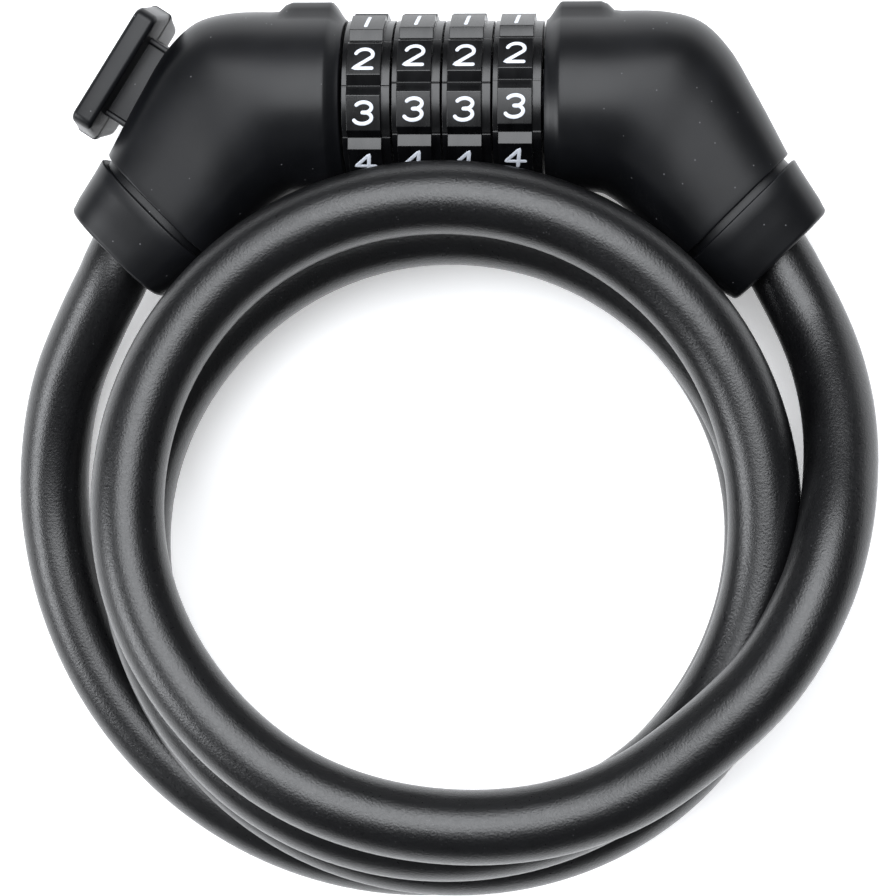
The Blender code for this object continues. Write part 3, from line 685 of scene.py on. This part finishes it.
def stroke_rings(stroke):
    """Rings of a round-ended stroke in its own plane, as (across, along, up)."""
    corners = [Vector((x * NUMBER_W + y * NUMBER_H * LEAN, y * NUMBER_H, 0)) for x, y in stroke]
    path = densified(corners, STROKE_STEP)
    tangents = [(b - a).normalized() for a, b in zip([path[0]] + path, path[1:] + [path[-1]])]
    caps = [(math.cos(a), math.sin(a)) for a in (0.1, 0.45, 0.8, 1.2)]
    spots = [(path[0] - tangents[0] * STROKE_R * c, tangents[0], STROKE_R * s) for c, s in caps]
    spots += [(p, t, STROKE_R) for p, t in zip(path, tangents)]
    spots += [(path[-1] + tangents[-1] * STROKE_R * c, tangents[-1], STROKE_R * s)
              for c, s in reversed(caps)]
    up = Vector((0, 0, 1))
    rings = []
    for spot, tangent, radius in spots:
        side = up.cross(tangent)
        angles = [math.tau * k / STROKE_SIDES for k in range(STROKE_SIDES)]
        rings.append([spot + (side * math.cos(a) + up * math.sin(a)) * radius for a in angles])
    return rings


def make_numbers(dial, x, turn):
    x += (DIAL_FLANGE_LEFT - DIAL_FLANGE_RIGHT) / 2
    bm = bmesh.new()
    for number, strokes in enumerate(STROKES):
        middle = math.radians(360 / len(STROKES) * number + turn)
        for stroke in strokes:
            rings = []
            for ring in stroke_rings(stroke):
                on_dial = []
                for p in ring:
                    a = middle - p.y / DIAL_R
                    r = block_radius(math.degrees(p.y / DIAL_R)) + p.z * STROKE_RISE
                    on_dial.append((x + p.x, r * math.cos(a), r * math.sin(a)))
                rings.append(on_dial)
            made = skin(bm, rings)
            bm.faces.new(made[0])
            bm.faces.new(made[-1])
    mesh_piece("dial_%d_numbers" % dial, bm, PAINT, "dial_%d" % dial, sharp=None)


for number, x, turn in zip(NUMBERS, DIAL_XS, DIAL_TURNS):
    make_dial(number, x, turn)
    make_numbers(number, x, turn)


# ---------------------------------------------------------------- bracket tab
TAB_L, TAB_DEPTH, TAB_T, TAB_R, TAB_EDGE = 24.8, 19.0, 3.8, 1.6, 0.8
TAB_DRAFT = 1.6                # the ends draw in this much to the plate's long edges
NECK_L, NECK_DEPTH, NECK_H, NECK_ROOT = 15.2, 9.0, 2.8, 1.6
NECK_CORNER = 1.0
RIB_T, RIB_PROUD, RIB_CORNER = 1.1, 0.7, 0.45
NECK_OVERLAP, RIB_OVERLAP = 0.6, 0.3    # how far each runs up into the plate
FLASH = 0.07                   # the mould line stands this proud round the plate
LEAST_CORNER = 0.2
TAB_ANGLE = math.radians(57.5)
TAB_FOOT = Vector((-50.96, 2.45, 0.0))


def tab_frame():
    """Frame on the left leg's outer side: X along the tab, Z away from the housing."""
    along = Vector((math.cos(TAB_ANGLE), math.sin(TAB_ANGLE), 0))
    outward = Vector((-math.sin(TAB_ANGLE), math.cos(TAB_ANGLE), 0))
    rotation = Matrix((along, outward.cross(along), outward)).transposed().to_4x4()
    return Matrix.Translation(TAB_FOOT) @ rotation


def rounded_outline(length, depth, radius, draft, steps=8):
    """Rounded rectangle whose ends draw in by the draft to its long edges."""
    points = []
    for sx, sy, start in ((1, 1, 0), (-1, 1, 90), (-1, -1, 180), (1, -1, 270)):
        points += arc(sx * (length / 2 - radius), sy * (depth / 2 - radius), radius, radius,
                      start, start + 90, steps)
        if sx != sy:
            points.append((sx * length / 2, 0.0))
    share = 4 * draft / (length * depth)
    return [(x * (1 - share * abs(y)), y) for x, y in points]


def slab(bm, length, depth, radius, levels, shift=0.0, draft=0.0):
    """Rounded slab through (height, inset) levels, in the tab's frame."""
    rings = []
    for z, inset in levels:
        corner = max(radius - inset, LEAST_CORNER)
        outline = rounded_outline(length - 2 * inset, depth - 2 * inset, corner, draft)
        rings.append([tab_frame() @ Vector((x + shift, y, z)) for x, y in outline])
    made = skin(bm, rings)
    bm.faces.new(made[0])
    bm.faces.new(made[-1])


def make_tab():
    top = NECK_H + TAB_T
    edges = fillet(TAB_EDGE, 4)
    low = sorted((NECK_H + back, inset) for back, inset in edges)
    high = sorted((top - back, inset) for back, inset in edges)
    bm = bmesh.new()
    slab(bm, TAB_L, TAB_DEPTH, TAB_R, low + high, draft=TAB_DRAFT)
    line = sorted((NECK_H - FLASH + back, inset) for back, inset in edges)
    line += sorted((top + FLASH - back, inset) for back, inset in edges)
    slab(bm, TAB_L + 2 * FLASH, 4 * FLASH, FLASH, line)
    slab(bm, NECK_L, NECK_DEPTH, NECK_CORNER, ((-NECK_ROOT, 0), (NECK_H + NECK_OVERLAP, 0)))
    for side in (-1, 1):
        slab(bm, RIB_T, NECK_DEPTH + 2 * RIB_PROUD, RIB_CORNER,
             ((-NECK_ROOT, 0), (NECK_H + RIB_OVERLAP, 0)), side * (NECK_L - RIB_T) / 2)
    mesh_piece("bracket_tab_skin", bm, ABS, "lock_body", ("bracket_tab",))


make_tab()


# ---------------------------------------------------------------- works inside
def dress(names, mat):
    for name in names:
        obj = frame["nodes"][name]
        obj.data.materials.clear()
        obj.data.materials.append(mat)


dress(("lock_barrel", "barrel_end_ring"), OXIDE)
dress(("barrel_cap", "eject_plunger", "lock_bolt",
       "bolt_cross_pin", "left_anchor_pin", "right_anchor_pin", "left_dowel_upper",
       "left_dowel_lower", "right_dowel_upper", "right_dowel_lower"), STEEL)
dress(("detent_spring", "eject_spring"), BLUED)
dress(["clutch_ring_%d" % n for n in NUMBERS] + ["left_ferrule", "right_ferrule"], ZINC)


# ---------------------------------------------------------------- floor, world and lights
FLOOR_HALF = 9.0               # metres
FLOOR_GLOW = 0.34              # light-table glow that keeps the shadows pale
LOOKS_AT = (0, -0.06, 0.03)    # where both lights point
DAYLIGHT = (0.95, 0.97, 1.0)


def make_floor():
    bm = bmesh.new()
    bmesh.ops.create_grid(bm, x_segments=1, y_segments=1, size=FLOOR_HALF)
    mesh = bpy.data.meshes.new("floor")
    bm.to_mesh(mesh)
    bm.free()
    floor = bpy.data.objects.new("floor", mesh)
    bpy.context.scene.collection.objects.link(floor)
    mat, _, shader = new_material("white_paper", (0.93, 0.93, 0.93), 0.9)
    shader.inputs["Specular IOR Level"].default_value = 0.1
    shader.inputs["Emission Color"].default_value = (1, 1, 1, 1)
    shader.inputs["Emission Strength"].default_value = FLOOR_GLOW
    mesh.materials.append(mat)


def area_light(name, place, size, watts):
    data = bpy.data.lights.new(name, "AREA")
    data.shape = "RECTANGLE"
    data.size, data.size_y = size
    data.energy = watts
    data.color = DAYLIGHT
    light = bpy.data.objects.new(name, data)
    bpy.context.scene.collection.objects.link(light)
    light.location = place
    light.rotation_mode = "QUATERNION"
    light.rotation_quaternion = (Vector(LOOKS_AT) - Vector(place)).to_track_quat("-Z", "Y")


def make_world():
    world = bpy.data.worlds.new("studio")
    bpy.context.scene.world = world
    world.use_nodes = True
    background = world.node_tree.nodes["Background"]
    background.inputs["Color"].default_value = (0.92, 0.95, 1.0, 1.0)
    background.inputs["Strength"].default_value = 0.14


make_floor()
make_world()
area_light("top_softbox", (-0.03, 0.31, 0.98), (0.90, 1.02), 21.5)
area_light("left_softbox", (-1.05, -0.32, 0.64), (0.60, 0.55), 11.5)
bpy.context.scene.view_settings.view_transform = "Standard"
